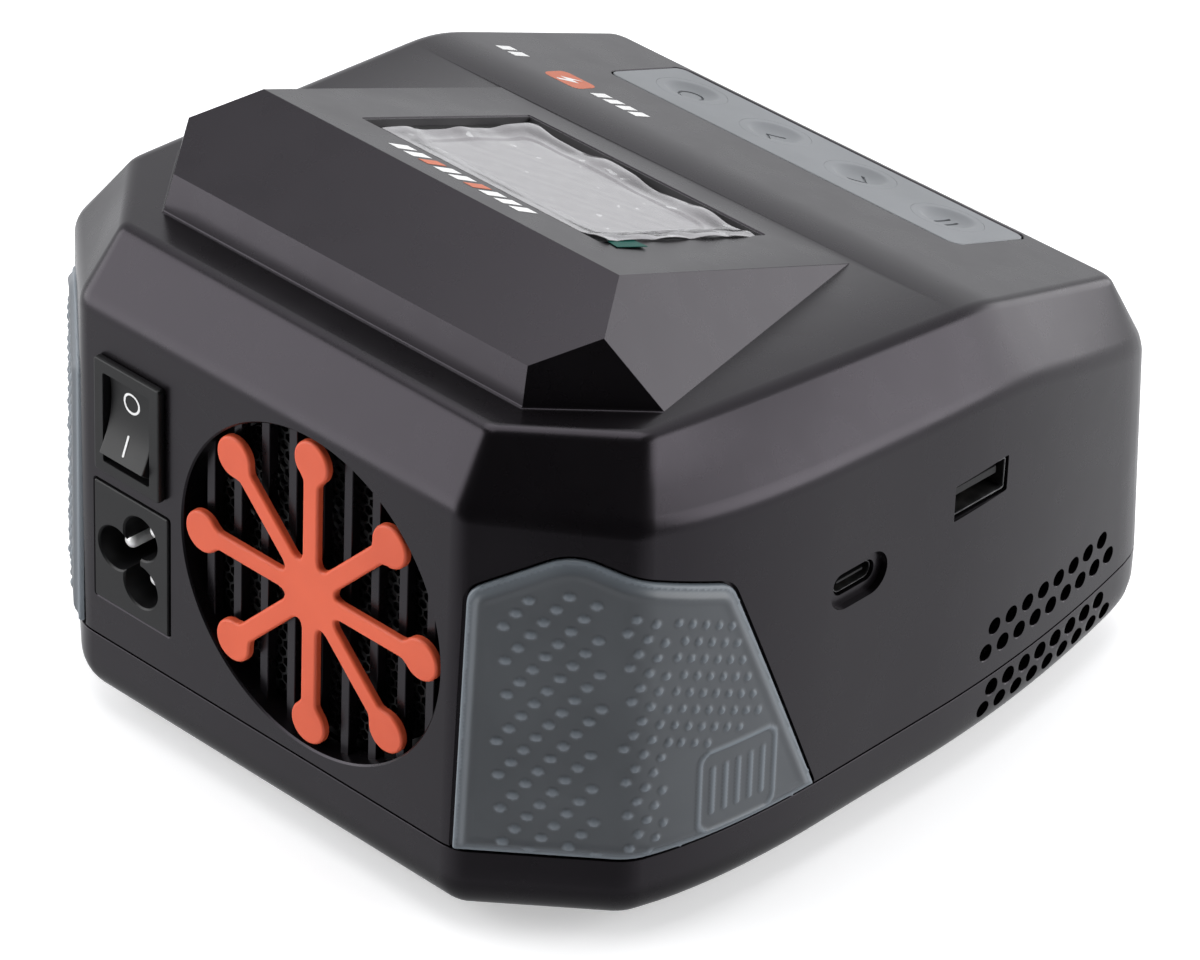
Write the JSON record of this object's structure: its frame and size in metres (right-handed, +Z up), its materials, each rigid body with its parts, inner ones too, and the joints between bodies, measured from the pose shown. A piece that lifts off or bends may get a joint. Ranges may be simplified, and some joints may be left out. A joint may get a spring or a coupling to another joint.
{
  "type": "balance battery charger",
  "caption": "Mains powered balance charger for model batteries: moulded two-part case with display, keypad, rocker switch, inlet, cooling fan, USB sockets and battery outputs.",
  "frame": {"origin": "middle of the charger, on the surface that it stands on", "axes": "+Z up, user and keypad at -Y, fan and mains inlet at +Y, USB sockets at -X"},
  "size_m": [0.1476, 0.1578, 0.1082],
  "materials": {
    "shell_plastic": "fine satin moulded black",
    "bumper_rubber": "matt grey rubber",
    "keypad_plastic": "light grey satin",
    "guard_plastic": "orange satin",
    "black_plastic": "black moulded",
    "foot_rubber": "matt black rubber",
    "clear_window": "clear window over a dark screen",
    "protective_film": "thin translucent film, slightly wrinkled",
    "tab_film": "green film",
    "circuit_board": "green lacquered board",
    "plated_steel": "bright plated",
    "brass_contact": "gold plated",
    "sink_aluminium": "extruded",
    "copper_winding": "lacquered copper wire",
    "ferrite_core": "sintered ferrite",
    "header_plastic": "natural nylon"
  },
  "bodies": {
    "case": {"upper_shell": "shell_plastic", "lower_shell": "shell_plastic", "bumper_left": "bumper_rubber", "bumper_right": "bumper_rubber", "display_window": "clear_window", "display_module": "black_plastic", "screen_film": "protective_film", "film_tab": "tab_film", "keypad_strip": "keypad_plastic", "keypad_board": "circuit_board", "rocker_housing": "black_plastic", "inlet_body": "black_plastic", "fan_frame": "black_plastic", "fan_guard": "guard_plastic", "dust_screen": "black_plastic", "output_socket": "black_plastic", "output_contact_positive": "brass_contact", "output_contact_negative": "brass_contact", "balance_header": "header_plastic", "balance_pins": "brass_contact", "usb_a_shell": "plated_steel", "usb_a_tongue": "black_plastic", "usb_c_shell": "plated_steel", "usb_c_tongue": "black_plastic", "usb_board": "circuit_board", "main_board": "circuit_board", "heat_sink_left": "sink_aluminium", "heat_sink_right": "sink_aluminium", "transformer_core": "ferrite_core", "transformer_winding": "copper_winding", "bulk_capacitor": "black_plastic", "output_capacitor": "black_plastic", "buzzer": "black_plastic", "tact_switch_1": "black_plastic", "case_screw_1": "plated_steel", "board_screw_1": "plated_steel", "foot_1": "foot_rubber", "tact_switch_2": "black_plastic", "case_screw_2": "plated_steel", "board_screw_2": "plated_steel", "foot_2": "foot_rubber", "tact_switch_3": "black_plastic", "case_screw_3": "plated_steel", "board_screw_3": "plated_steel", "foot_3": "foot_rubber", "tact_switch_4": "black_plastic", "case_screw_4": "plated_steel", "board_screw_4": "plated_steel", "foot_4": "foot_rubber", "inlet_pin_earth": "plated_steel", "inlet_pin_live": "plated_steel", "inlet_pin_neutral": "plated_steel"},
    "rocker": {"rocker_key": "black_plastic"},
    "fan_wheel": {"fan_rotor": "black_plastic"},
    "button_pause": {"button_pause": "keypad_plastic"},
    "button_previous": {"button_previous": "keypad_plastic"},
    "button_next": {"button_next": "keypad_plastic"},
    "button_enter": {"button_enter": "keypad_plastic"}
  },
  "joints": [
    {"name": "rocker_tilt", "type": "hinge", "parent": "case", "child": "rocker", "pos_m": [0.03135, 0.073, 0.0628], "axis": [-1, 0, 0], "range_deg": [0, 20]},
    {"name": "fan_spin", "type": "hinge", "parent": "case", "child": "fan_wheel", "pos_m": [-0.01064, 0.0627, 0.05], "axis": [0, 1, 0], "continuous": true},
    {"name": "button_pause_press", "type": "slide", "parent": "case", "child": "button_pause", "axis": [0, 0.3151, -0.9491], "range_m": [0, 0.0006], "stiffness_N_per_m": 250},
    {"name": "button_previous_press", "type": "slide", "parent": "case", "child": "button_previous", "axis": [0, 0.3151, -0.9491], "range_m": [0, 0.0006], "stiffness_N_per_m": 250},
    {"name": "button_next_press", "type": "slide", "parent": "case", "child": "button_next", "axis": [0, 0.3151, -0.9491], "range_m": [0, 0.0006], "stiffness_N_per_m": 250},
    {"name": "button_enter_press", "type": "slide", "parent": "case", "child": "button_enter", "axis": [0, 0.3151, -0.9491], "range_m": [0, 0.0006], "stiffness_N_per_m": 250}
  ]
}
